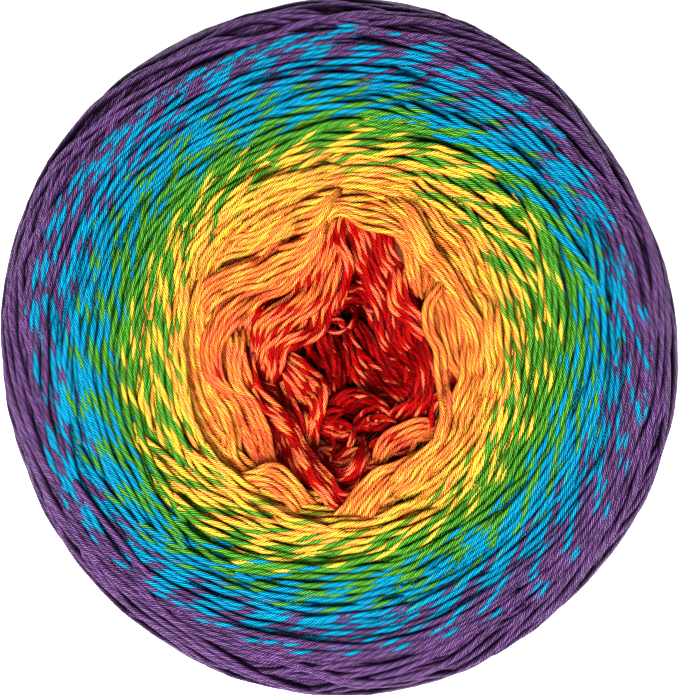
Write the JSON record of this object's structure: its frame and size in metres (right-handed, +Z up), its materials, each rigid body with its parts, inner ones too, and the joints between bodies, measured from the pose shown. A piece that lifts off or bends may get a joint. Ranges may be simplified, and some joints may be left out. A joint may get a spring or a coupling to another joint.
{
  "type": "yarn cake",
  "caption": "Wound yarn cake lying flat, a squat drum with a domed top and a sagging hollow in the middle, in a rainbow gradient from purple at the rim to red inside.",
  "frame": {"origin": "middle of the flat underside, below the middle of the bounding box", "axes": "+Z up through the hollow in the middle of the cake, +Y towards the top edge of the picture, +X towards its right edge"},
  "size_m": [0.1484, 0.1529, 0.0742],
  "materials": {
    "yarn": "matt plied yarn"
  },
  "bodies": {
    "root": {"wound_yarn": "yarn"}
  },
  "joints": []
}
